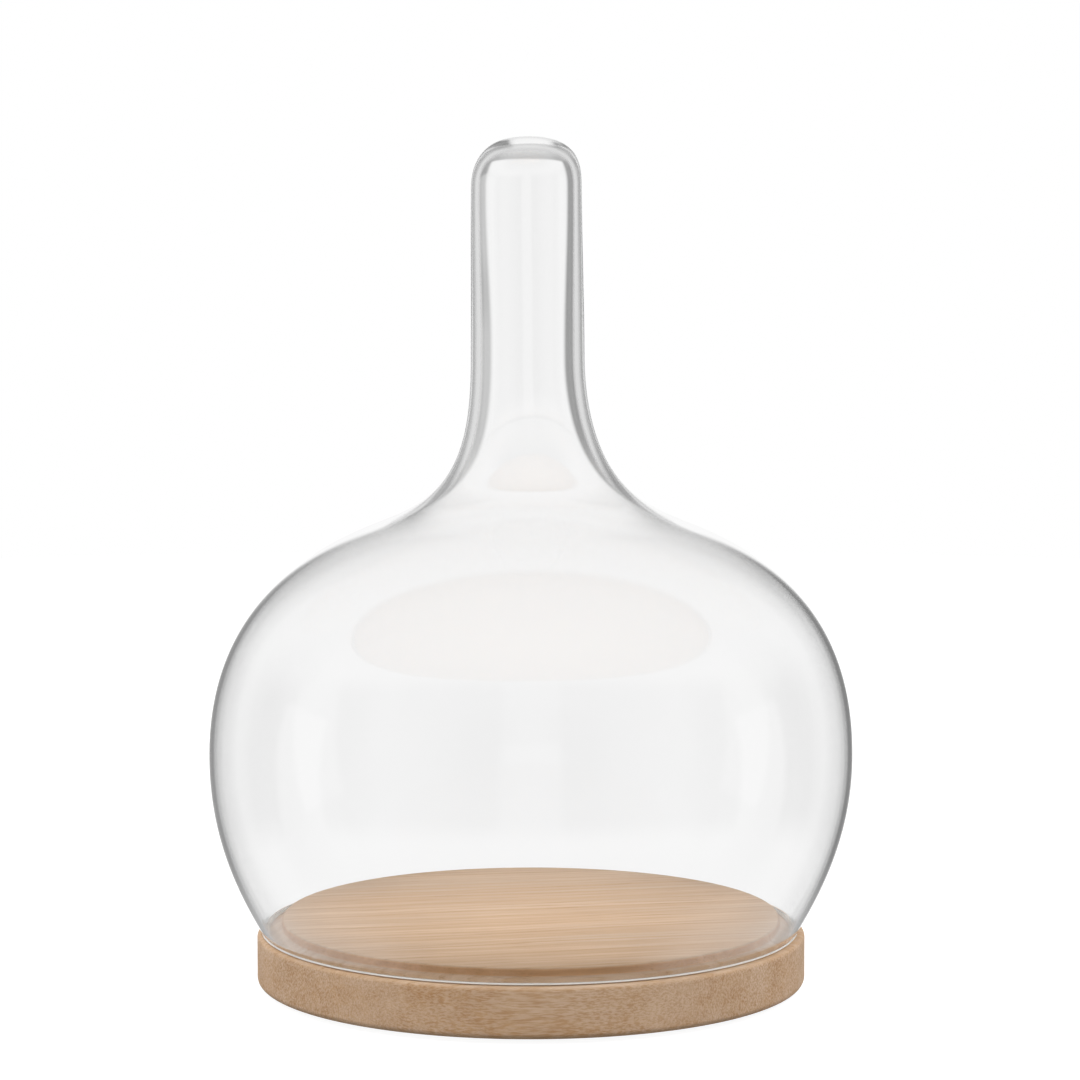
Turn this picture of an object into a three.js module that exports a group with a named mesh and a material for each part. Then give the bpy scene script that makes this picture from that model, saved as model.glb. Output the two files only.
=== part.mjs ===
// A bell jar dome for showing and covering small objects. A mouth-blown clear glass dome, whose long
// closed neck is its handle, stands by its own weight on the ledge of a turned ash base, around a
// raised round plateau that the exhibit stands on. Four felt pads are stuck under the base.
//
// Millimetres, +Z up. The origin is on the object's axis, at the surface that the pads stand on.
import * as THREE from "three";

// Turned base, heights from the underside of the wood
const BASE_RADIUS = 106;
const LEDGE_HEIGHT = 19.5;
const PLATEAU_RADIUS = 96.6;
const PLATEAU_RISE = 5.6;
const UNDERSIDE_ROUNDING = 2.5;
const LEDGE_ROUNDING = 1.8;
const BEVEL_WIDTH = 4.6;
const BEVEL_HEIGHT = 2.6;
const PLATEAU_ROUNDING = 1;

// Felt pads
const PAD_COUNT = 4;
const PAD_RADIUS = 10;
const PAD_THICKNESS = 1.7;
const PAD_CIRCLE_RADIUS = 82;
const ADHESIVE_FILM = 0.3;

// Glass dome, heights from its rim. The wall leans outwards at the rim, stands upright at the widest
// ring of the bulb, leans in to the shoulder, and turns upright again at the foot of the neck.
const RIM_RADIUS = 103.3;
const RIM_LEAN = THREE.MathUtils.degToRad(30.6);
const RIM_ARRIS = 0.6;
const BULB_RADIUS = 124;
const BULB_HEIGHT = 68.6;
const SHOULDER_RADIUS = 64;
const SHOULDER_HEIGHT = 156;
const SHOULDER_SLOPE = THREE.MathUtils.degToRad(22.4);
const NECK_FOOT_RADIUS = 21.8;
const NECK_FOOT_HEIGHT = 222.5;
const NECK_TOP_RADIUS = 21.1;
const NECK_TOP_HEIGHT = 286.5;
const DOME_HEIGHT = 305.8;

// How far the outline keeps its direction on each side of those rings, which sets its fullness
const RIM_PULL = 19.7;
const BULB_PULL_DOWN = 30;
const BULB_PULL_UP = 50;
const SHOULDER_PULL_OUT = 34.8;
const SHOULDER_PULL_IN = 21.9;
const NECK_FOOT_PULL = 52.5;
const NECK_TOP_PULL = 12.6;
const CROWN_PULL = 15;

// Wall thickness at the same rings: thin where the bulb was blown out, about twice that in the neck
const RIM_WALL = 1.8;
const BULB_WALL = 1.8;
const SHOULDER_WALL = 2.2;
const NECK_FOOT_WALL = 3.7;
const NECK_TOP_WALL = 2.6;
const CROWN_WALL = 3.6;

// Clearance under the rim, which stands for the unevenness of a ground edge on turned wood
const RIM_CLEARANCE = 0.3;

// Fineness of the round surfaces
const DOME_SEGMENTS = 64;
const BASE_SEGMENTS = 72;
const PAD_SEGMENTS = 24;
const ARC_STEPS = 3;

const clearGlass = new THREE.MeshStandardMaterial({
  color: 0xeef2f2,
  roughness: 0.02,
  metalness: 0,
  transparent: true,
  opacity: 0.3,
});
const ashWood = new THREE.MeshStandardMaterial({
  color: 0xd2b591,
  roughness: 0.55,
  metalness: 0,
});
const greyFelt = new THREE.MeshStandardMaterial({
  color: 0x8a857c,
  roughness: 0.95,
  metalness: 0,
});

// A named mesh turned about the Z axis from a profile of (radius, height) points that starts and
// ends on the axis, with the material on the left of its direction of travel.
function turned(name, profile, segments, material) {
  const geometry = new THREE.LatheGeometry(profile, segments);
  geometry.rotateX(Math.PI / 2);
  const mesh = new THREE.Mesh(geometry, material);
  mesh.name = name;
  return mesh;
}

// The profile of the base: across the underside, up the outer side, in over the ledge, up the bevel
// that centres the rim and the short wall of the plateau, and back to the axis over its top.
function baseProfile() {
  const bottom = UNDERSIDE_ROUNDING;
  const edge = LEDGE_ROUNDING;
  const lip = PLATEAU_ROUNDING;
  const top = LEDGE_HEIGHT + PLATEAU_RISE;
  const path = new THREE.Path();
  path.moveTo(0, 0);
  path.lineTo(BASE_RADIUS - bottom, 0);
  path.absarc(BASE_RADIUS - bottom, bottom, bottom, -Math.PI / 2, 0);
  path.lineTo(BASE_RADIUS, LEDGE_HEIGHT - edge);
  path.absarc(BASE_RADIUS - edge, LEDGE_HEIGHT - edge, edge, 0, Math.PI / 2);
  path.lineTo(PLATEAU_RADIUS + BEVEL_WIDTH, LEDGE_HEIGHT);
  path.lineTo(PLATEAU_RADIUS, LEDGE_HEIGHT + BEVEL_HEIGHT);
  path.lineTo(PLATEAU_RADIUS, top - lip);
  path.absarc(PLATEAU_RADIUS - lip, top - lip, lip, 0, Math.PI / 2);
  path.lineTo(0, top);
  return path.getPoints(ARC_STEPS);
}

// The outer outline of the dome as stretches from the rim to the crown. Each has the wall thickness
// at its two ends and the number of steps that its curvature needs.
function outlineStretches() {
  const point = (radius, height) => new THREE.Vector2(radius, height);
  const rim = point(RIM_RADIUS, 0);
  const bulb = point(BULB_RADIUS, BULB_HEIGHT);
  const shoulder = point(SHOULDER_RADIUS, SHOULDER_HEIGHT);
  const foot = point(NECK_FOOT_RADIUS, NECK_FOOT_HEIGHT);
  const top = point(NECK_TOP_RADIUS, NECK_TOP_HEIGHT);
  const crown = point(0, DOME_HEIGHT);
  const lean = point(Math.sin(RIM_LEAN), Math.cos(RIM_LEAN));
  const slope = point(-Math.cos(SHOULDER_SLOPE), Math.sin(SHOULDER_SLOPE));
  const pulled = (from, direction, distance) => from.clone().addScaledVector(direction, distance);
  const up = point(0, 1);
  const outwards = point(1, 0);
  const curve = (...points) => new THREE.CubicBezierCurve(...points);
  return [
    {
      curve: curve(rim, pulled(rim, lean, RIM_PULL), pulled(bulb, up, -BULB_PULL_DOWN), bulb),
      walls: [RIM_WALL, BULB_WALL],
      steps: 5,
    },
    {
      curve: curve(
        bulb,
        pulled(bulb, up, BULB_PULL_UP),
        pulled(shoulder, slope, -SHOULDER_PULL_OUT),
        shoulder,
      ),
      walls: [BULB_WALL, SHOULDER_WALL],
      steps: 9,
    },
    {
      curve: curve(
        shoulder,
        pulled(shoulder, slope, SHOULDER_PULL_IN),
        pulled(foot, up, -NECK_FOOT_PULL),
        foot,
      ),
      walls: [SHOULDER_WALL, NECK_FOOT_WALL],
      steps: 8,
    },
    {
      curve: new THREE.LineCurve(foot, top),
      walls: [NECK_FOOT_WALL, NECK_TOP_WALL],
      steps: 1,
    },
    {
      curve: curve(
        top,
        pulled(top, up, NECK_TOP_PULL),
        pulled(crown, outwards, CROWN_PULL),
        crown,
      ),
      walls: [NECK_TOP_WALL, CROWN_WALL],
      steps: 6,
    },
  ];
}

// The profile of the dome: from the crown down the inside, across the ground rim between its two
// small polished arrises, and up the outside to the crown again.
function domeProfile() {
  const outside = [];
  const inside = [];
  for (const { curve, walls, steps } of outlineStretches()) {
    for (let step = outside.length ? 1 : 0; step <= steps; step += 1) {
      const t = step / steps;
      const outer = curve.getPoint(t);
      const along = curve.getTangent(t);
      const wall = THREE.MathUtils.lerp(walls[0], walls[1], THREE.MathUtils.smoothstep(t, 0, 1));
      outside.push(outer);
      inside.push(new THREE.Vector2(outer.x - along.y * wall, outer.y + along.x * wall));
    }
  }
  outside.at(-1).x = 0;
  inside.at(-1).x = 0;

  // The ground rim is level, so the inner wall is carried on down to it.
  const innerFoot = inside[0].clone();
  innerFoot.x -= innerFoot.y * Math.tan(RIM_LEAN);
  innerFoot.y = 0;
  const rimOutside = outside.shift();
  inside.shift();
  const arris = new THREE.Vector2(Math.sin(RIM_LEAN), Math.cos(RIM_LEAN)).multiplyScalar(RIM_ARRIS);
  const rim = [
    innerFoot.clone().add(arris),
    new THREE.Vector2(innerFoot.x + RIM_ARRIS, 0),
    new THREE.Vector2(rimOutside.x - RIM_ARRIS, 0),
    rimOutside.clone().add(arris),
  ];
  return [...inside.reverse(), ...rim, ...outside];
}

// One felt pad, standing on the surface under the object
function feltPad(index) {
  const profile = [
    new THREE.Vector2(0, 0),
    new THREE.Vector2(PAD_RADIUS, 0),
    new THREE.Vector2(PAD_RADIUS, PAD_THICKNESS),
    new THREE.Vector2(0, PAD_THICKNESS),
  ];
  const pad = turned(`felt_pad_${index + 1}`, profile, PAD_SEGMENTS, greyFelt);
  const angle = ((index + 0.5) * 2 * Math.PI) / PAD_COUNT;
  pad.position.set(PAD_CIRCLE_RADIUS * Math.cos(angle), PAD_CIRCLE_RADIUS * Math.sin(angle), 0);
  return pad;
}

const bellJar = new THREE.Group();

for (let index = 0; index < PAD_COUNT; index += 1) {
  bellJar.add(feltPad(index));
}

const base = turned("turned_base", baseProfile(), BASE_SEGMENTS, ashWood);
base.position.z = PAD_THICKNESS + ADHESIVE_FILM;
bellJar.add(base);

const dome = turned("glass_dome", domeProfile(), DOME_SEGMENTS, clearGlass);
dome.position.z = base.position.z + LEDGE_HEIGHT + RIM_CLEARANCE;
bellJar.add(dome);

export default bellJar;
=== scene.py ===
"""A bell jar dome on a turned ash base, dressed for a photograph: a mouth-blown glass dome with a
closed neck, standing on the ledge of a solid ash disc with four felt pads under it.

Metres, +Z up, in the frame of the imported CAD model. The camera looks from the front, along +Y.
"""

import math
import random

import bmesh
import bpy
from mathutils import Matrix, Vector, noise


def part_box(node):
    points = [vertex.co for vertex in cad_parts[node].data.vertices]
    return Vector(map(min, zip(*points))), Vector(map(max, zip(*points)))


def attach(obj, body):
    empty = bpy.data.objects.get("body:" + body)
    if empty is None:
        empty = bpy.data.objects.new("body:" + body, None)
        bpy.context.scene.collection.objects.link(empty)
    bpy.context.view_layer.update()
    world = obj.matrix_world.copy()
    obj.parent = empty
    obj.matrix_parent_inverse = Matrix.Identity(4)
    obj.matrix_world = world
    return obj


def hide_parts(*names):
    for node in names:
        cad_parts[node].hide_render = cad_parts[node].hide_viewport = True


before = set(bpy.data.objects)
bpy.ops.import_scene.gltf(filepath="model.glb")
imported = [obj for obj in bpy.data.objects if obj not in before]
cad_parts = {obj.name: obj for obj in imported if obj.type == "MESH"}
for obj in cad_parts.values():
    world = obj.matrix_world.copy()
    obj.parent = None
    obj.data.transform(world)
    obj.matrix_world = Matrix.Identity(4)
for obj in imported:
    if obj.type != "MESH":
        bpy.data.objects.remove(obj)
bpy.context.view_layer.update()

MM = 0.001
DEGREES = 180 / math.pi
BASE_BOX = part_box("turned_base")
DOME_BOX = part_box("glass_dome")
PADS = [f"felt_pad_{number}" for number in range(1, 5)]
SEGMENTS = 256

# The base, in millimetres above the underside of its wood, as in the CAD model apart from the
# fillet between the bevel and the wall of the plateau
BASE_RADIUS = 106
LEDGE_HEIGHT = 19.5
LEDGE_ROUNDING = 1.8
UNDERSIDE_ROUNDING = 2.5
PLATEAU_RADIUS = 96.6
PLATEAU_TOP = 25.1
PLATEAU_ROUNDING = 1.0
BEVEL_WIDTH = 4.6
BEVEL_HEIGHT = 2.6
BEVEL_FILLET = 0.7
LEDGE = BASE_BOX[0][2] + LEDGE_HEIGHT * MM

# Extra rings of the mesh on the side and on the flat faces of the base
SIDE_HEIGHTS = (6, 12)
FACE_RADII = (30, 60, 85)

# The dome, in millimetres above its rim, as in the CAD model apart from the bead of ground glass
# at the rim. A pull is the distance from the end of a curve to its control point.
RIM_RADIUS = 103.3
RIM_LEAN = math.radians(30.6)
RIM_ARRIS = 0.6
RIM_BEAD = 0.36
RIM_BEAD_RADIUS = 103.45
BULB = (124.0, 68.6)
SHOULDER = (64.0, 156.0)
SHOULDER_SLOPE = math.radians(22.4)
NECK_FOOT = (21.8, 222.5)
NECK_TOP = (21.1, 286.5)
DOME_HEIGHT = 305.8
PULLS = {
    "rim": 19.7,
    "bulb_down": 30,
    "bulb_up": 50,
    "shoulder_out": 34.8,
    "shoulder_in": 21.9,
    "neck_foot": 52.5,
    "neck_top": 12.6,
    "crown": 15,
}
WALLS = {"rim": 1.8, "bulb": 1.8, "shoulder": 2.2, "neck_foot": 3.7, "neck_top": 2.6, "crown": 3.6}

# How far the blown glass strays sideways from its axis: (height, offset along X)
STRAY = [(0, -0.5), (68.6, 0), (156, 0.8), (222.5, -1.2), (286.5, -1.7), (305.8, -0.8)]


# Mesh helpers


def ease(t):
    """From 0 to 1 with a level start and end."""
    return t * t * (3 - 2 * t)


def arc(centre, radius, start, end, steps):
    """Points of a circular arc, angles in degrees."""
    points = []
    for step in range(steps + 1):
        angle = math.radians(start + (end - start) * step / steps)
        points.append((centre[0] + radius * math.cos(angle), centre[1] + radius * math.sin(angle)))
    return points


def bezier(points, steps):
    """Places and unit tangents of a cubic curve, each with how far along the curve it is."""
    result = []
    a, b, c, d = (Vector(point) for point in points)
    for step in range(steps + 1):
        t = step / steps
        s = 1 - t
        place = a * s**3 + b * 3 * s * s * t + c * 3 * s * t * t + d * t**3
        along = (b - a) * 3 * s * s + (c - b) * 6 * s * t + (d - c) * 3 * t * t
        result.append((place, along.normalized(), t))
    return result


def link_mesh(name, bm, smooth=True):
    """A mesh object in the scene from a bmesh, which is freed."""
    mesh = bpy.data.meshes.new(name)
    bm.normal_update()
    bm.to_mesh(mesh)
    bm.free()
    if smooth:
        mesh.shade_smooth()
    obj = bpy.data.objects.new(name, mesh)
    bpy.context.scene.collection.objects.link(obj)
    return obj


def lathe(name, rings):
    """A body of revolution about Z. Its profile of (radius, height) in metres starts and ends on
    the axis and is travelled with the material on its left."""
    bm = bmesh.new()
    rows = []
    for radius, height in rings:
        if radius < 1e-9:
            rows.append([bm.verts.new((0, 0, height))])
            continue
        row = []
        for index in range(SEGMENTS):
            angle = 2 * math.pi * index / SEGMENTS
            row.append(bm.verts.new((radius * math.cos(angle), radius * math.sin(angle), height)))
        rows.append(row)
    for low, high in zip(rows, rows[1:]):
        for index in range(SEGMENTS):
            after = (index + 1) % SEGMENTS
            if len(low) == 1:
                bm.faces.new((low[0], high[after], high[index]))
            elif len(high) == 1:
                bm.faces.new((low[index], low[after], high[0]))
            else:
                bm.faces.new((low[index], low[after], high[after], high[index]))
    return link_mesh(name, bm)


# The glass dome


def dome_profile():
    """Down the inside from the crown, round the rim, and up the outside."""
    rim = Vector((RIM_RADIUS, 0))
    bulb = Vector(BULB)
    shoulder = Vector(SHOULDER)
    foot = Vector(NECK_FOOT)
    top = Vector(NECK_TOP)
    crown = Vector((0, DOME_HEIGHT))
    lean = Vector((math.sin(RIM_LEAN), math.cos(RIM_LEAN)))
    slope = Vector((-math.cos(SHOULDER_SLOPE), math.sin(SHOULDER_SLOPE)))
    up = Vector((0, 1))
    out = Vector((1, 0))
    pull = PULLS
    to_bulb = (rim, rim + lean * pull["rim"], bulb - up * pull["bulb_down"], bulb)
    to_shoulder = shoulder - slope * pull["shoulder_out"]
    over_bulb = (bulb, bulb + up * pull["bulb_up"], to_shoulder, shoulder)
    from_shoulder = shoulder + slope * pull["shoulder_in"]
    to_neck = (shoulder, from_shoulder, foot - up * pull["neck_foot"], foot)
    up_neck = (foot, foot.lerp(top, 1 / 3), foot.lerp(top, 2 / 3), top)
    over_crown = (top, top + up * pull["neck_top"], crown + out * pull["crown"], crown)
    stretches = [
        (to_bulb, "rim", "bulb", 40),
        (over_bulb, "bulb", "shoulder", 56),
        (to_neck, "shoulder", "neck_foot", 48),
        (up_neck, "neck_foot", "neck_top", 10),
        (over_crown, "neck_top", "crown", 28),
    ]
    outside = []
    inside = []
    for points, wall_from, wall_to, steps in stretches:
        for place, along, t in bezier(points, steps)[1 if outside else 0 :]:
            wall = WALLS[wall_from] * (1 - ease(t)) + WALLS[wall_to] * ease(t)
            outside.append(place)
            inside.append(Vector((place.x - along.y * wall, place.y + along.x * wall)))
    outside[-1].x = 0
    inside[-1].x = 0
    foot_inside = Vector((inside[0].x - inside[0].y * math.tan(RIM_LEAN), 0))
    rim_in = [foot_inside + lean * RIM_ARRIS, foot_inside + out * RIM_ARRIS]
    bead = arc((RIM_BEAD_RADIUS, RIM_BEAD), RIM_BEAD, -90, 80, 12)
    return [*reversed(inside[1:]), *rim_in, *map(Vector, bead), *outside[1:]]


def stray(height):
    """Sideways offset of the blown glass at a height above the rim."""
    for (low, start), (high, end) in zip(STRAY, STRAY[1:]):
        if height <= high:
            return start + (end - start) * ease(max(0.0, height - low) / (high - low))
    return STRAY[-1][1]


def build_dome():
    """The first material is the blown glass, the second its ground rim."""
    bottom = DOME_BOX[0][2]
    dome = lathe("dome_glass", [(p.x * MM, p.y * MM + bottom) for p in dome_profile()])
    for vertex in dome.data.vertices:
        vertex.co.x += stray((vertex.co.z - bottom) / MM) * MM
    ground = bottom + 2 * RIM_BEAD * MM
    for polygon in dome.data.polygons:
        polygon.material_index = int(polygon.center.z < ground)
    return dome


dome = build_dome()
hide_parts("glass_dome")
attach(dome, "dome")


# The turned base


def base_profile():
    """Out along the underside, up the side, and in over the ledge, the bevel and the plateau."""
    underside = (BASE_RADIUS - UNDERSIDE_ROUNDING, UNDERSIDE_ROUNDING)
    ledge = (BASE_RADIUS - LEDGE_ROUNDING, LEDGE_HEIGHT - LEDGE_ROUNDING)
    plateau = (PLATEAU_RADIUS - PLATEAU_ROUNDING, PLATEAU_TOP - PLATEAU_ROUNDING)
    slope = math.atan2(BEVEL_HEIGHT, BEVEL_WIDTH)
    rise = LEDGE_HEIGHT + BEVEL_HEIGHT + BEVEL_FILLET * (1 - math.tan(slope) / 2)
    fillet = (PLATEAU_RADIUS + BEVEL_FILLET, rise)
    return [
        (0, 0),
        *((radius, 0) for radius in FACE_RADII),
        *arc(underside, UNDERSIDE_ROUNDING, -90, 0, 10),
        *((BASE_RADIUS, height) for height in SIDE_HEIGHTS),
        *arc(ledge, LEDGE_ROUNDING, 0, 90, 8),
        (PLATEAU_RADIUS + BEVEL_WIDTH, LEDGE_HEIGHT),
        *arc(fillet, BEVEL_FILLET, -90 - math.degrees(slope), -180, 6),
        *arc(plateau, PLATEAU_ROUNDING, 0, 90, 6),
        *((radius, PLATEAU_TOP) for radius in reversed(FACE_RADII)),
        (0, PLATEAU_TOP),
    ]


def build_base():
    bottom = BASE_BOX[0][2]
    return lathe("ash_base", [(radius * MM, z * MM + bottom) for radius, z in base_profile()])


base = build_base()
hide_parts("turned_base")
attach(base, "base")


# The felt pads

PAD_RADIUS = 10 * MM
PAD_THICKNESS = 1.7 * MM
PAD_EDGE = 0.45 * MM
PAD_NAP = 0.12 * MM
PAD_NAP_SCALE = 1400
PAD_SEGMENTS = 96

# Rings on the two faces of a pad, as parts of its radius
PAD_FACE_RADII = (0.15, 0.3, 0.45, 0.6, 0.75, 0.88)

PAD_FIBRES = 220
FIBRE_STEPS = 5
FIBRE_INSET = 0.01 * MM


def pad_rows(bm, seed):
    """Rings of vertices from the middle of the underside, round the cut edge, to the middle of the
    top, each vertex pushed in by the nap."""
    edge = PAD_RADIUS - PAD_EDGE
    profile = [
        *((radius * PAD_RADIUS, 0.0) for radius in PAD_FACE_RADII),
        *arc((edge, PAD_EDGE), PAD_EDGE, -90, 0, 5),
        *arc((edge, PAD_THICKNESS - PAD_EDGE), PAD_EDGE, 0, 90, 5),
        *((radius * PAD_RADIUS, PAD_THICKNESS) for radius in reversed(PAD_FACE_RADII)),
    ]
    rows = []
    for radius, height in profile:
        row = []
        for index in range(PAD_SEGMENTS):
            angle = 2 * math.pi * index / PAD_SEGMENTS
            place = Vector((radius * math.cos(angle), radius * math.sin(angle), height))
            rough = 0.5 + 0.5 * noise.noise((place + Vector((seed, seed, 0))) * PAD_NAP_SCALE)
            rough = PAD_NAP * max(0.0, min(1.0, rough))
            inward = Vector((-math.cos(angle), -math.sin(angle), 0)) * rough
            if PAD_EDGE < height < PAD_THICKNESS - PAD_EDGE:
                place += inward
            else:
                place += inward * (radius / PAD_RADIUS) ** 4
                place.z += rough * 0.6 if height < PAD_THICKNESS / 2 else -rough * 0.6
            row.append(bm.verts.new(place))
        rows.append(row)
    return rows


def add_fibre(bm, draw):
    """A flat loose fibre that lies along the cut edge and tapers to both of its ends."""
    start = draw.uniform(0, 2 * math.pi)
    turn = draw.choice((-1, 1)) * draw.uniform(0.05, 0.16)
    low = draw.uniform(0.25, 0.75) * PAD_THICKNESS
    climb = draw.uniform(-0.2, 0.2) * PAD_THICKNESS
    width = draw.uniform(0.025, 0.045) * MM
    strip = []
    for step in range(FIBRE_STEPS + 1):
        t = step / FIBRE_STEPS
        radius = PAD_RADIUS - PAD_NAP + (PAD_NAP - FIBRE_INSET) * math.sin(math.pi * t)
        angle = start + turn * t
        height = low + climb * t + 0.1 * PAD_NAP * math.sin(5 * t)
        side = width * math.sin(math.pi * (0.1 + 0.8 * t))
        x = radius * math.cos(angle)
        y = radius * math.sin(angle)
        strip.append((bm.verts.new((x, y, height - side)), bm.verts.new((x, y, height + side))))
    for this, after in zip(strip, strip[1:]):
        bm.faces.new((this[0], after[0], after[1], this[1]))


def build_pad(name, seed):
    """A punched felt disc: a slightly rounded and ragged cut edge, faces with a nap, and loose
    fibres on the cut edge. Nothing reaches past the radius or the two faces of the CAD pad."""
    bm = bmesh.new()
    rows = pad_rows(bm, seed)
    for low, high in zip(rows, rows[1:]):
        for index in range(PAD_SEGMENTS):
            after = (index + 1) % PAD_SEGMENTS
            bm.faces.new((low[index], low[after], high[after], high[index]))
    for row, height, order in ((rows[0], 0.0, -1), (rows[-1], PAD_THICKNESS, 1)):
        centre = bm.verts.new((0, 0, height + order * -0.3 * PAD_NAP))
        for index in range(PAD_SEGMENTS):
            pair = (row[index], row[(index + 1) % PAD_SEGMENTS])
            bm.faces.new((centre, *pair) if order > 0 else (centre, *reversed(pair)))
    draw = random.Random(seed)
    for _ in range(PAD_FIBRES):
        add_fibre(bm, draw)
    return link_mesh(name, bm)


pads = []
for number, node in enumerate(PADS, 1):
    low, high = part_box(node)
    pad = build_pad(f"pad_{number}", number)
    pad.location = ((low[0] + high[0]) / 2, (low[1] + high[1]) / 2, low[2])
    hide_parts(node)
    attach(pad, "base")
    pads.append(pad)


# Materials


class Graph:
    """Short calls for building a node tree. A value is a number, a vector or a node's socket."""

    def __init__(self, tree):
        self.nodes = tree.nodes
        self.links = tree.links

    def put(self, socket, value):
        if isinstance(value, bpy.types.NodeSocket):
            self.links.new(value, socket)
        else:
            socket.default_value = value

    def node(self, kind, inputs, output=0, **settings):
        made = self.nodes.new("ShaderNode" + kind)
        for name, setting in settings.items():
            setattr(made, name, setting)
        for name, value in inputs.items():
            self.put(made.inputs[name], value)
        return made.outputs[output] if made.outputs else None

    def maths(self, operation, *values):
        return self.node("Math", dict(enumerate(values)), operation=operation)

    def times(self, a, b):
        return self.maths("MULTIPLY", a, b)

    def distance(self, a, b):
        squares = self.maths("POWER", a, 2.0), self.maths("POWER", b, 2.0)
        return self.maths("SQRT", self.maths("ADD", *squares))

    def smooth(self, value, low, high, to_low=0.0, to_high=1.0):
        """Eased from to_low, at low and less, to to_high, at high and more."""
        inputs = {"Value": value, "From Min": low, "From Max": high}
        inputs.update({"To Min": to_low, "To Max": to_high})
        return self.node("MapRange", inputs, interpolation_type="SMOOTHSTEP")

    def between(self, factor, a, b):
        return self.node("Mix", {0: factor, 2: a, 3: b}, data_type="FLOAT")

    def colours(self, factor, a, b, blend="MIX"):
        return self.node("Mix", {0: factor, 6: a, 7: b}, 2, data_type="RGBA", blend_type=blend)

    def noise(self, place, squeeze, scale, detail=2.0, roughness=0.5):
        """Noise that is drawn out along each axis whose squeeze is less than 1."""
        place = self.node("VectorMath", {0: place, 1: squeeze}, operation="MULTIPLY")
        inputs = {"Vector": place, "Scale": scale, "Detail": detail, "Roughness": roughness}
        return self.node("TexNoise", inputs)

    def pattern(self, place, squeeze, scale, detail, roughness, low, high):
        """Noise whose values from low to high are eased from 0 to 1."""
        return self.smooth(self.noise(place, squeeze, scale, detail, roughness), low, high)

    def along(self, vector, axis):
        return self.node("SeparateXYZ", {0: vector}, axis)


def new_material(name, inputs):
    """A material, and its shader with a value set on each of the named inputs."""
    material = bpy.data.materials.new(name)
    material.use_nodes = True
    shader = material.node_tree.nodes["Principled BSDF"]
    for setting, value in inputs.items():
        shader.inputs[setting].default_value = value
    return material, shader


GLASS = {"Base Color": (1, 1, 1, 1), "Roughness": 0, "IOR": 1.52, "Transmission Weight": 1}
GROUND_GLASS = {"Base Color": (0.93, 0.91, 0.87, 1), "Roughness": 0.5}

dome.data.materials.append(new_material("clear_glass", GLASS)[0])
dome.data.materials.append(new_material("ground_glass", GROUND_GLASS)[0])


# Ash, cut so that the growth rings cross the top as nearly straight lines. Along the grain is X
# turned by GRAIN_TURN; the pith of the tree lies PITH_BACK behind and PITH_DOWN below the base.
GRAIN_TURN = math.radians(-11)
PITH_BACK = 0.21
PITH_DOWN = 0.075
RING_WIDTH = 0.0047
RING_SWAY = 0.02
RING_RIPPLE = 0.0022
ASH_PALE = (0.77, 0.56, 0.39, 1)
ASH_GREY = (0.66, 0.5, 0.37, 1)
ASH_MID = (0.6, 0.385, 0.225, 1)
ASH_DARK = (0.46, 0.265, 0.14, 1)
ASH_FLECK = (0.76, 0.59, 0.45, 1)

# What the colour of the top is multiplied by on the turned side, for the wood's own richer tone
# and painted shade of faces that get less light, and on the wall and the bevel, for painted warm
# bounce light in their shade
ASH_SIDE_TONE_AND_SHADE = (0.72, 0.59, 0.43, 1)
ASH_STEP_BOUNCE_LIGHT = (1.18, 0.98, 0.74, 1)

# Patterns of the wood: the squeeze along each axis, scale, detail and roughness of the noise, and
# the two values that it is eased between. The last three are on the side alone.
ASH_PORES = ((0.035, 1.0, 1.0), 1500.0, 2.0, 0.6, 0.53, 0.68)
ASH_FIBRES = ((0.05, 1.0, 1.0), 520.0, 4.0, 0.65, 0.3, 0.7)
ASH_PATCHES = ((0.3, 1.0, 1.0), 26.0, 3.0, 0.5, 0.35, 0.68)
ASH_STREAKS = ((0.04, 1.0, 1.0), 170.0, 2.0, 0.5, 0.35, 0.65)
ASH_DASHES = ((0.07, 1.0, 1.0), 1700.0, 2.0, 0.7, 0.36, 0.62)
ASH_DOTS = ((1.0, 1.0, 0.5), 2100.0, 2.0, 0.7, 0.36, 0.62)
ASH_CLOUDS = ((0.3, 1.0, 1.0), 60.0, 2.0, 0.5, 0.35, 0.65)


def ash_rings(graph, turned):
    """How far each place is through its ring, from 0 to 1, and a random number for the ring. The
    rings are bent by slow waves that are long along the grain."""
    sway = graph.noise(turned, (0.22, 1.0, 1.0), 22.0)
    ripple = graph.noise(turned, (0.12, 1.0, 1.0), 110.0)
    across = graph.maths("SUBTRACT", PITH_BACK, graph.along(turned, "Y"))
    rise = graph.maths("ADD", PITH_DOWN, graph.along(turned, "Z"))
    radius = graph.distance(across, rise)
    radius = graph.maths("ADD", radius, graph.times(sway, RING_SWAY))
    radius = graph.maths("ADD", radius, graph.times(ripple, RING_RIPPLE))
    rings = graph.maths("DIVIDE", radius, RING_WIDTH)
    year = graph.maths("FLOOR", rings)
    weather = graph.node("TexWhiteNoise", {"W": year}, "Value", noise_dimensions="1D")
    return graph.maths("FRACT", rings), weather


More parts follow.
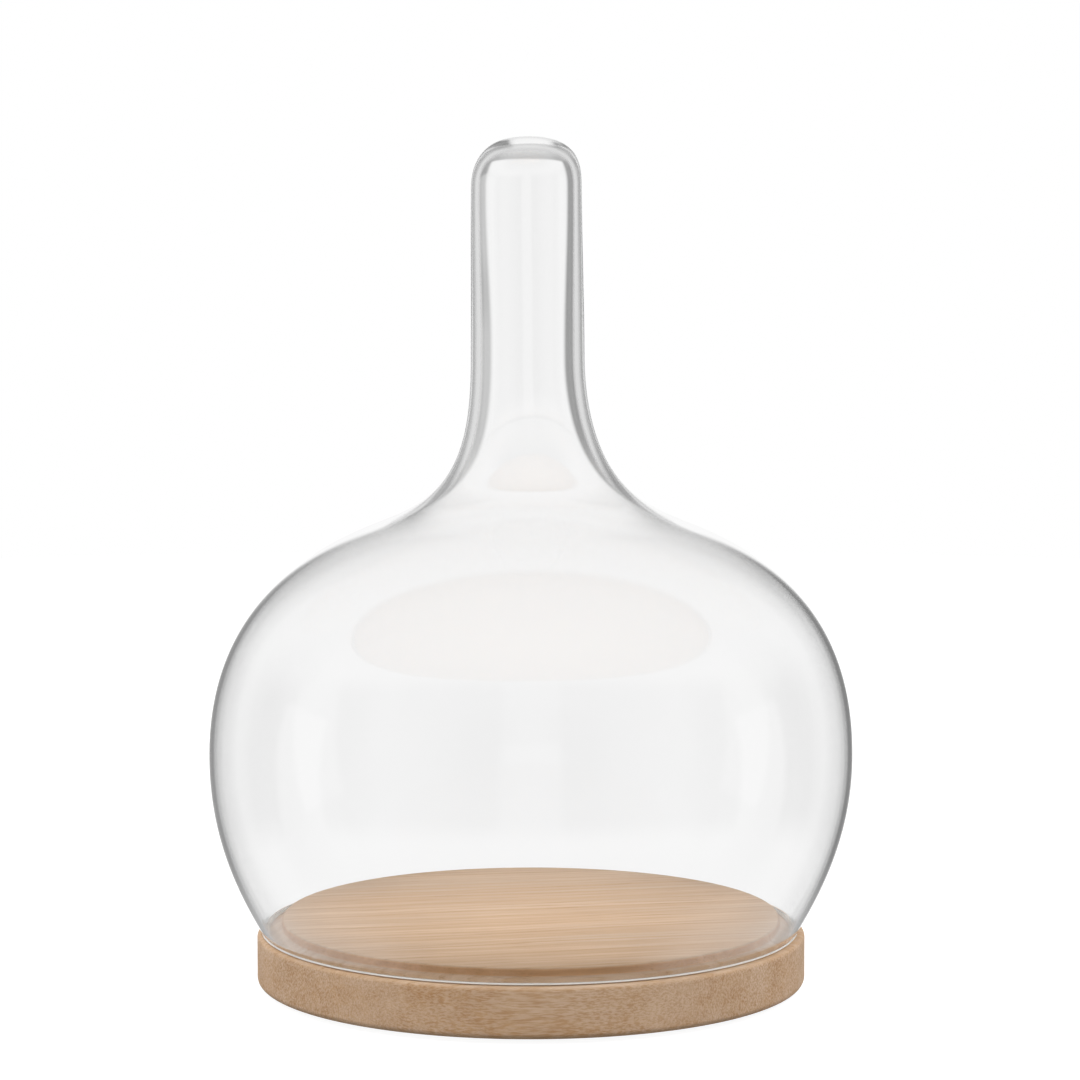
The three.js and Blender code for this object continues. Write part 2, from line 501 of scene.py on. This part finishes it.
def ash_material():
    material, shader = new_material("ash_wood", {"Specular IOR Level": 0.08})
    graph = Graph(material.node_tree)
    smooth, times = graph.smooth, graph.times
    place = graph.node("TexCoord", {}, "Object")
    turned = {"Vector": place, "Angle": GRAIN_TURN}
    turned = graph.node("VectorRotate", turned, rotation_type="Z_AXIS")

    # The turned side is darker than the top, partly the wood's own tone and partly painted shade;
    # at +X and -X it shows the pores end on
    facing = graph.node("TexCoord", {}, "Normal")
    level = graph.maths("ABSOLUTE", graph.along(facing, "Z"))
    side = smooth(level, 0.35, 0.9, 1.0, 0.0)
    ends = smooth(graph.maths("ABSOLUTE", graph.along(facing, "X")), 0.3, 0.85)
    raised = smooth(graph.along(place, "Z"), LEDGE, LEDGE + 0.2 * MM)

    # Early wood is the open, darker start of each ring; late wood is the dense pale rest
    within, weather = ash_rings(graph, turned)
    early = times(smooth(within, 0.0, 0.1), smooth(within, 0.16, 0.55, 1.0, 0.0))
    early = times(early, graph.maths("MULTIPLY_ADD", weather, 0.75, 0.3))
    early = times(early, graph.maths("MULTIPLY_ADD", side, -0.65, 1.0))

    # Pores: tubes along the grain, long dashes on the top and dots on the ends
    pores = graph.pattern(turned, *ASH_PORES)
    open_wood = graph.maths("MULTIPLY_ADD", early, 0.75, 0.3)
    pores = times(pores, graph.maths("MULTIPLY_ADD", ends, 0.35, open_wood))
    fibres = graph.pattern(turned, *ASH_FIBRES)
    streaks = graph.pattern(turned, *ASH_STREAKS)
    colour = graph.colours(graph.pattern(turned, *ASH_PATCHES), ASH_PALE, ASH_GREY)
    for mask, weight, tint in (
        (streaks, 0.6, ASH_MID),
        (early, 0.95, ASH_MID),
        (fibres, 0.45, ASH_MID),
        (pores, 0.75, ASH_DARK),
    ):
        colour = graph.colours(times(mask, weight), colour, tint)

    # Flecks on the side: dashes where it runs along the grain, dots on the ends, and broad clouds
    dashes = times(graph.pattern(place, *ASH_DASHES), 0.4)
    dots = times(graph.pattern(place, *ASH_DOTS), 0.6)
    clouds = times(graph.pattern(place, *ASH_CLOUDS), 0.2)
    flecks = graph.maths("ADD", graph.between(ends, dashes, dots), clouds)
    # Painted shade: the upright faces take a darker tint, along with the wood's own richer tone
    # there
    turned_side = graph.colours(1.0, colour, ASH_SIDE_TONE_AND_SHADE, "MULTIPLY")
    turned_side = graph.colours(flecks, turned_side, ASH_FLECK)
    # Painted bounce light: the wall and the bevel take a warmer, brighter tint, as shade lit by
    # the wood around them
    step = graph.colours(1.0, colour, ASH_STEP_BOUNCE_LIGHT, "MULTIPLY")
    upright = graph.colours(raised, turned_side, step)
    graph.put(shader.inputs["Base Color"], graph.colours(side, colour, upright))
    graph.put(shader.inputs["Roughness"], graph.maths("MULTIPLY_ADD", pores, 0.15, 0.6))

    height = graph.maths("MULTIPLY_ADD", pores, -1.0, times(fibres, 0.25))
    bump = graph.node("Bump", {"Height": height, "Strength": 0.25, "Distance": 0.3 * MM})
    graph.put(shader.inputs["Normal"], bump)
    return material


base.data.materials.append(ash_material())

FELT = {"Roughness": 0.95, "Specular IOR Level": 0.15}
FELT_PALE = (0.37, 0.355, 0.33, 1)
FELT_DARK = (0.17, 0.165, 0.155, 1)


def felt_material():
    """Matted tufts, and fibres that lie two ways."""
    material, shader = new_material("grey_felt", FELT)
    graph = Graph(material.node_tree)
    place = graph.node("TexCoord", {}, "Object")
    matted = graph.noise(place, (1.0, 1.0, 1.0), 450.0, 3.0, 0.6)
    one_way = graph.noise(place, (0.12, 1.0, 1.0), 4200.0, 3.0, 0.7)
    other_way = graph.noise(place, (1.0, 0.12, 1.0), 4200.0, 3.0, 0.7)
    fibres = graph.maths("MAXIMUM", one_way, other_way)
    tone = graph.maths("MULTIPLY_ADD", matted, 0.4, graph.times(fibres, 0.6))
    tone = graph.smooth(tone, 0.38, 0.64)
    graph.put(shader.inputs["Base Color"], graph.colours(tone, FELT_DARK, FELT_PALE))
    bump = graph.node("Bump", {"Height": fibres, "Strength": 0.6, "Distance": 0.2 * MM})
    graph.put(shader.inputs["Normal"], bump)
    return material


felt = felt_material()
for pad in pads:
    pad.data.materials.append(felt)


# Studio

# Light levels of the studio; 1 is the white that the camera sees behind the object. SIDE_STRIPS
# is what the reflections at the sides are multiplied by.
BACKDROP = 0.96
SIDES = 0.76
SIDE_STRIPS = 0.86
FRONT = 0.6
TOP = 0.64
BELOW = 0.92
FRONT_BELOW = 0.2
GAP_LEFT = 0.29
GAP_LEFT_LEVEL = 0.54
GAP_RIGHT = 0.23
GAP_ABOVE = 0.36
GAP_OVERHEAD = 0.54
GAP_BELOW = 0.4
WOOD_FRONT = 0.42
WOOD_SIDES = 1.1
WOOD_TOP = 2.32

# How strong the gaps are, where 1 is their full dimness: away from the back, in the plain
# surround, and under the horizon for what the glass reflects
GAP_STRENGTH = 0.55
GAP_ROUND = 0.75
GAP_REFLECTED = 0.6

# The lit strips, in degrees: half of their width, and their top
STRIP_SIDE = 9.0
STRIP_TOP = 12.0

# Where the light changes, each from and to an angle in degrees: away from a strip,
GAP_START = (0.0, 4.0)
GAP_END = (11.0, 34.0)
SIDES_START = (16.0, 34.0)

# sideways from the axis of a strip, of a bar or of a spoke,
OVERHEAD = (3.0, 9.0)
BAR_EDGE = (10.0, 17.0)
SPOKE_EDGE = (8.0, 12.0)

# and up from the horizon
LEVEL_BAND = (3.5, 5.5)
BAR_END = (12.0, 40.0)
SPOKE_END = (-58.0, -40.0)
HORIZON = (-24.0, -14.0)
TOP_START = (20.0, 70.0)
FLOOR_FRONT = (-70.0, -20.0)
SOFT_BOX = (5.0, 65.0)


class Sky:
    """Masks over the directions of the studio, for building its light."""

    def __init__(self, graph):
        self.graph = graph
        direction = graph.node("TexCoord", {}, "Generated")
        self.right = graph.along(direction, "X")
        self.azimuth = graph.maths("ARCTAN2", self.right, graph.along(direction, "Y"))
        self.toward_back = graph.maths("COSINE", self.azimuth)
        elevation = graph.maths("ARCSINE", graph.along(direction, "Z"))
        self.elevation = graph.times(elevation, DEGREES)
        glossy = graph.node("LightPath", {}, "Glossy Depth")
        self.reflected = graph.maths("MINIMUM", glossy, 1.0)
        self.straight = graph.maths("SUBTRACT", 1.0, self.reflected)

    def off_axis(self, folds):
        """Degrees from the nearest of the evenly spread axes, of which the first is the back."""
        folded = self.graph.maths("COSINE", self.graph.times(self.azimuth, float(folds)))
        return self.graph.times(self.graph.maths("ARCCOSINE", folded), DEGREES / folds)

    def back(self, low, high, to_low=0.0, to_high=1.0):
        """Eased by how far to the back, as the cosine of the azimuth."""
        return self.graph.smooth(self.toward_back, low, high, to_low, to_high)

    def height(self, low, high, to_low=0.0, to_high=1.0):
        """Eased by elevation in degrees."""
        return self.graph.smooth(self.elevation, low, high, to_low, to_high)


def strips_and_gaps(graph, sky):
    """A lit strip at the back, the front and each side, with a dim gap beside and above it."""
    maths, smooth, between, times = graph.maths, graph.smooth, graph.between, graph.times
    axis = sky.off_axis(4)
    beside = maths("MAXIMUM", maths("SUBTRACT", axis, STRIP_SIDE), 0.0)
    above = maths("MAXIMUM", maths("SUBTRACT", sky.elevation, STRIP_TOP), 0.0)
    away = graph.distance(beside, above)
    gap = times(smooth(away, *GAP_START), smooth(away, *GAP_END, 1.0, 0.0))
    gap = times(gap, sky.back(0.2, 0.7, GAP_STRENGTH, 1.0))

    # The left gap is lighter near the horizon, and the gap above is lighter straight over a strip
    level = smooth(maths("ABSOLUTE", sky.elevation), *LEVEL_BAND, 1.0, 0.0)
    left = between(times(level, sky.straight), GAP_LEFT, GAP_LEFT_LEVEL)
    dark_beside = smooth(sky.right, -0.15, 0.15, left, GAP_RIGHT)
    dark_above = smooth(axis, *OVERHEAD, GAP_OVERHEAD, GAP_ABOVE)
    upward = maths("DIVIDE", above, maths("ADD", away, 0.01))
    dark = between(smooth(upward, 0.3, 0.85), dark_beside, dark_above)

    light = between(smooth(away, *SIDES_START), BACKDROP, SIDES)
    light = times(between(gap, light, dark), sky.back(-0.9, -0.1, FRONT, 1.0))
    sideways = smooth(maths("ABSOLUTE", sky.toward_back), 0.3, 0.6, 1.0, 0.0)
    dimmed = maths("MULTIPLY_ADD", times(sky.reflected, sideways), SIDE_STRIPS - 1.0, 1.0)
    return times(light, dimmed)


def glass_light(graph, sky):
    """What the glass sees. Straight through it, away from the back, that is a plain surround with
    eight dim bars. Under the horizon eight dim spokes run down to where they fade."""
    smooth, between, times = graph.smooth, graph.between, graph.times
    axis = sky.off_axis(8)
    bars = times(smooth(axis, *BAR_EDGE), sky.height(*BAR_END, 1.0, 0.0))
    plain = between(times(bars, GAP_ROUND), BACKDROP, GAP_RIGHT)
    elsewhere = times(sky.back(0.55, 0.8, 1.0, 0.0), sky.straight)
    around = between(elsewhere, strips_and_gaps(graph, sky), plain)

    spokes = times(smooth(axis, *SPOKE_EDGE), sky.height(*SPOKE_END))
    strength = between(sky.reflected, 1.0, sky.back(0.75, 0.9, 0.0, GAP_REFLECTED))
    below = between(times(spokes, strength), BELOW, GAP_BELOW)
    front = sky.back(-0.5, 0.2, sky.height(*FLOOR_FRONT, FRONT_BELOW, 1.0), 1.0)
    below = times(below, between(sky.reflected, 1.0, front))

    light = between(sky.height(*HORIZON), below, around)
    return between(sky.height(*TOP_START), light, TOP)


def wood_light(graph, sky):
    """What lights the matt pieces: a large soft box overhead, with less from the front."""
    horizon = sky.back(-0.9, 0.1, WOOD_FRONT, WOOD_SIDES)
    return graph.between(sky.height(*SOFT_BOX), horizon, WOOD_TOP)


def studio_world():
    """The camera sees plain white; the glass and the matt pieces each have their own light."""
    world = bpy.data.worlds.new("studio")
    bpy.context.scene.world = world
    world.use_nodes = True
    world.node_tree.nodes.clear()
    graph = Graph(world.node_tree)
    sky = Sky(graph)
    matt = graph.maths("MINIMUM", graph.node("LightPath", {}, "Diffuse Depth"), 1.0)
    strength = graph.between(matt, glass_light(graph, sky), wood_light(graph, sky))
    camera_ray = graph.node("LightPath", {}, "Is Camera Ray")
    strength = graph.between(camera_ray, strength, 1.0)
    background = graph.node("Background", {"Color": (1, 1, 1, 1), "Strength": strength})
    graph.node("OutputWorld", {"Surface": background})


studio_world()

FLOOR_RADIUS = 1.6
FLOOR_BOUNCE = 0.25
FLOOR_GLOW = 0.93
FLOOR = {
    "Base Color": (FLOOR_BOUNCE, FLOOR_BOUNCE, FLOOR_BOUNCE, 1),
    "Roughness": 1,
    "Specular IOR Level": 0,
    "Emission Color": (1, 1, 1, 1),
}


def build_floor():
    """A plain pale floor that the camera sees nearly white and the glass doesn't see."""
    bm = bmesh.new()
    bmesh.ops.create_circle(bm, cap_ends=True, segments=96, radius=FLOOR_RADIUS)
    floor = link_mesh("floor", bm, smooth=False)
    material, shader = new_material("floor", FLOOR)
    graph = Graph(material.node_tree)
    camera_ray = graph.node("LightPath", {}, "Is Camera Ray")
    graph.put(shader.inputs["Emission Strength"], graph.times(camera_ray, FLOOR_GLOW))
    floor.data.materials.append(material)
    floor.visible_transmission = False
    floor.visible_glossy = False


build_floor()


# Camera

CAMERA_DISTANCE = 1.5
CAMERA_SIDE = 0.0035
CAMERA_ELEVATION = math.radians(11.61)
CAMERA_PITCH = math.radians(5.84)
CAMERA_LENS = 128.1
CAMERA_SENSOR = 36
CAMERA_CLIP = (0.05, 50)


def build_camera():
    data = bpy.data.cameras.new("camera")
    data.lens = CAMERA_LENS
    data.sensor_width = CAMERA_SENSOR
    data.clip_start, data.clip_end = CAMERA_CLIP
    camera = bpy.data.objects.new("camera", data)
    bpy.context.scene.collection.objects.link(camera)
    camera.location = (
        CAMERA_SIDE,
        -CAMERA_DISTANCE * math.cos(CAMERA_ELEVATION),
        LEDGE + CAMERA_DISTANCE * math.sin(CAMERA_ELEVATION),
    )
    camera.rotation_euler = (math.pi / 2 - CAMERA_PITCH, 0, 0)
    bpy.context.scene.camera = camera


build_camera()
bpy.context.scene.view_settings.view_transform = "Standard"

# Light that is piped along the wall of the dome takes many reflections to leave it
BOUNCES = 32
for limit in ("max_bounces", "glossy_bounces", "transmission_bounces"):
    setattr(bpy.context.scene.cycles, limit, BOUNCES)
